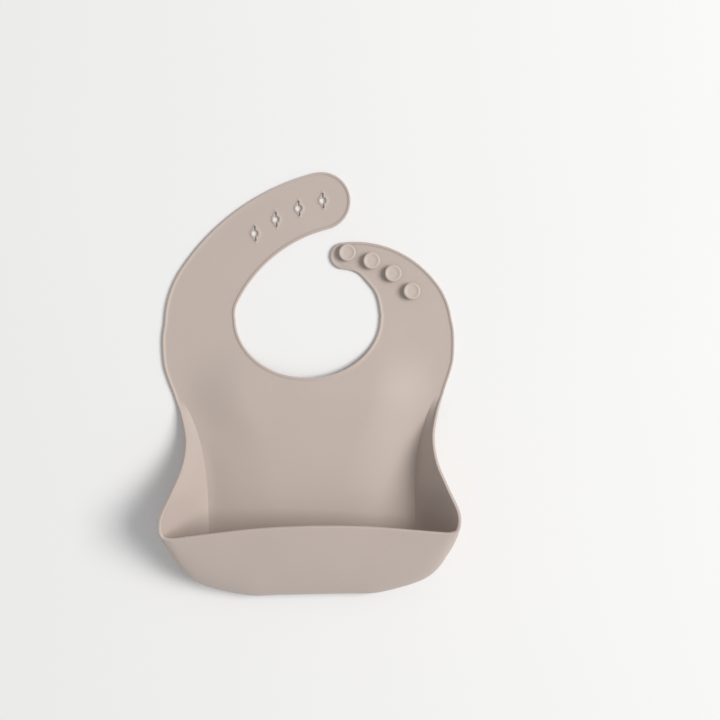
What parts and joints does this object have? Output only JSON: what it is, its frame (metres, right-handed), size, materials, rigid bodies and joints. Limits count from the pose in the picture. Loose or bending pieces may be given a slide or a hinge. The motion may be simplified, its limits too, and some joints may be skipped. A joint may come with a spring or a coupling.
{
  "type": "silicone bib",
  "caption": "Soft moulded bib with a crumb pocket at the bottom, a round neck opening and two straps that close with round studs pushed through slit holes",
  "frame": {"origin": "centre of the neck opening, on the back face that lies on the table", "axes": "+Y to the strap tips, -Y to the pocket, +Z out of the front face, +X to the stud strap"},
  "size_m": [0.21, 0.302, 0.0487],
  "materials": {
    "silicone": "matte, soft touch, warm beige silicone",
    "silicone_stud": "matte warm beige silicone, a little lighter on the stud heads"
  },
  "bodies": {
    "belly": {"belly_panel": "silicone", "left_gusset": "silicone", "right_gusset": "silicone", "pocket_left_corner": "silicone", "pocket_right_corner": "silicone"},
    "pocket": {"pocket_front": "silicone"},
    "chest": {"chest_panel": "silicone"},
    "hole_strap_part_1": {"hole_strap_1": "silicone"},
    "hole_strap_part_2": {"hole_strap_2": "silicone"},
    "hole_strap_part_3": {"hole_strap_3": "silicone"},
    "hole_strap_part_4": {"hole_strap_4": "silicone"},
    "hole_strap_part_5": {"hole_strap_5": "silicone"},
    "hole_strap_part_6": {"hole_strap_6": "silicone"},
    "stud_strap_part_1": {"stud_strap_1": "silicone", "stud_1": "silicone_stud"},
    "stud_strap_part_2": {"stud_strap_2": "silicone", "stud_2": "silicone_stud"},
    "stud_strap_part_3": {"stud_strap_3": "silicone", "stud_3": "silicone_stud"},
    "stud_strap_part_4": {"stud_strap_4": "silicone", "stud_4": "silicone_stud"}
  },
  "joints": [
    {"name": "neck_fold", "type": "hinge", "parent": "belly", "child": "chest", "pos_m": [0, -0.053, 0.0008], "axis": [1, 0, 0], "range_deg": [-30, 60], "stiffness_Nm_per_rad": 0.004},
    {"name": "pocket_open", "type": "hinge", "parent": "belly", "child": "pocket", "pos_m": [0, -0.186, 0.0008], "axis": [1, 0, 0], "range_deg": [-12, 12], "stiffness_Nm_per_rad": 0.1},
    {"name": "hole_strap_bend_1", "type": "hinge", "parent": "chest", "child": "hole_strap_part_1", "pos_m": [-0.0775, 0, 0.0008], "axis": [1, 0, 0], "range_deg": [-24, 15], "stiffness_Nm_per_rad": 0.003},
    {"name": "hole_strap_bend_2", "type": "hinge", "parent": "hole_strap_part_1", "child": "hole_strap_part_2", "pos_m": [-0.06958, 0.02593, 0.0008], "axis": [0.8457, -0.5337, 0], "range_deg": [-24, 15], "stiffness_Nm_per_rad": 0.003},
    {"name": "hole_strap_bend_3", "type": "hinge", "parent": "hole_strap_part_2", "child": "hole_strap_part_3", "pos_m": [-0.04989, 0.05019, 0.0008], "axis": [0.6963, -0.7178, 0], "range_deg": [-24, 15], "stiffness_Nm_per_rad": 0.003},
    {"name": "hole_strap_bend_4", "type": "hinge", "parent": "hole_strap_part_3", "child": "hole_strap_part_4", "pos_m": [-0.029, 0.06671, 0.0008], "axis": [0.5378, -0.8431, 0], "range_deg": [-24, 15], "stiffness_Nm_per_rad": 0.003},
    {"name": "hole_strap_bend_5", "type": "hinge", "parent": "hole_strap_part_4", "child": "hole_strap_part_5", "pos_m": [-0.01303, 0.07541, 0.0008], "axis": [0.4166, -0.9091, 0], "range_deg": [-24, 15], "stiffness_Nm_per_rad": 0.003},
    {"name": "hole_strap_bend_6", "type": "hinge", "parent": "hole_strap_part_5", "child": "hole_strap_part_6", "pos_m": [0.00398, 0.08182, 0.0008], "axis": [0.2875, -0.9578, 0], "range_deg": [-24, 15], "stiffness_Nm_per_rad": 0.003},
    {"name": "stud_strap_bend_1", "type": "hinge", "parent": "chest", "child": "stud_strap_part_1", "pos_m": [0.0775, 0, 0.0008], "axis": [1, 0, 0], "range_deg": [-24, 15], "stiffness_Nm_per_rad": 0.003},
    {"name": "stud_strap_bend_2", "type": "hinge", "parent": "stud_strap_part_1", "child": "stud_strap_part_2", "pos_m": [0.06804, 0.024, 0.0008], "axis": [0.79, 0.6131, 0], "range_deg": [-24, 15], "stiffness_Nm_per_rad": 0.003},
    {"name": "stud_strap_bend_3", "type": "hinge", "parent": "stud_strap_part_2", "child": "stud_strap_part_3", "pos_m": [0.05477, 0.03605, 0.0008], "axis": [0.5348, 0.845, 0], "range_deg": [-24, 15], "stiffness_Nm_per_rad": 0.003},
    {"name": "stud_strap_bend_4", "type": "hinge", "parent": "stud_strap_part_3", "child": "stud_strap_part_4", "pos_m": [0.0382, 0.04288, 0.0008], "axis": [0.216, 0.9764, 0], "range_deg": [-24, 15], "stiffness_Nm_per_rad": 0.003}
  ],
  "couplings": [
    {"joint": "hole_strap_bend_2", "follows": "hole_strap_bend_1", "ratio": 1},
    {"joint": "hole_strap_bend_3", "follows": "hole_strap_bend_1", "ratio": 1},
    {"joint": "hole_strap_bend_4", "follows": "hole_strap_bend_1", "ratio": 1},
    {"joint": "hole_strap_bend_5", "follows": "hole_strap_bend_1", "ratio": 1},
    {"joint": "hole_strap_bend_6", "follows": "hole_strap_bend_1", "ratio": 1},
    {"joint": "stud_strap_bend_2", "follows": "stud_strap_bend_1", "ratio": 1},
    {"joint": "stud_strap_bend_3", "follows": "stud_strap_bend_1", "ratio": 1},
    {"joint": "stud_strap_bend_4", "follows": "stud_strap_bend_1", "ratio": 1}
  ]
}
